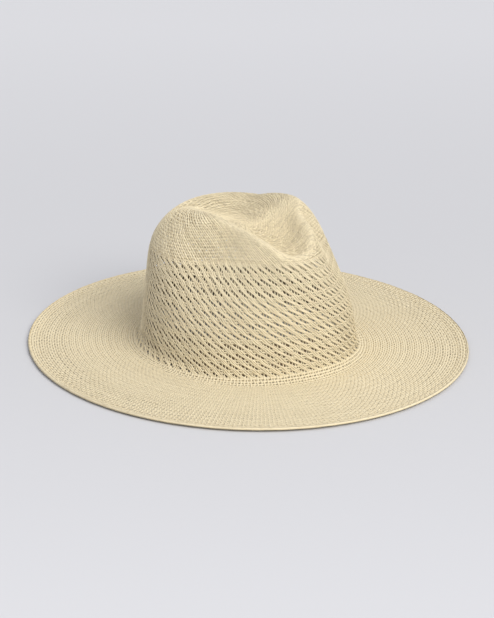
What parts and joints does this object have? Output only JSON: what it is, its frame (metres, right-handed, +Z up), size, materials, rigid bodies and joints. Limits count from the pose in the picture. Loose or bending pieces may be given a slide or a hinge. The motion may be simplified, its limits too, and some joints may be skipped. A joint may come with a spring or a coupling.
{
  "type": "straw hat",
  "caption": "Wide flat-brimmed straw hat with an openwork crown, a teardrop crease pinched at the front, a wired hem and a ribbon sweatband.",
  "frame": {"origin": "under the middle of the brim, on the surface that the brim rests on", "axes": "+Z up, the front of the hat (the pinched end of the crown) towards -Y, the wearer's left towards +X"},
  "size_m": [0.37, 0.396, 0.1224],
  "materials": {
    "crown_straw": "natural straw, matt with a faint silky sheen",
    "brim_straw": "natural straw, matt with a faint silky sheen",
    "hem_straw": "natural straw, matt",
    "straw_thread": "fine sewing thread",
    "hem_wire": "drawn wire",
    "joiner_metal": "crimped sleeve",
    "ribbon": "ribbed dark brown ribbon, matt",
    "ribbon_thread": "fine sewing thread",
    "label_cloth": "blank woven tab"
  },
  "bodies": {
    "root": {"crown_tip": "crown_straw", "crown_wall": "crown_straw", "crown_base": "crown_straw", "brim": "brim_straw", "brim_hem": "hem_straw", "hem_stitching": "straw_thread", "brim_wire": "hem_wire", "wire_joiner": "joiner_metal", "sweatband": "ribbon", "sweatband_stitching": "ribbon_thread", "size_label": "label_cloth", "label_stitching": "ribbon_thread"}
  },
  "joints": []
}
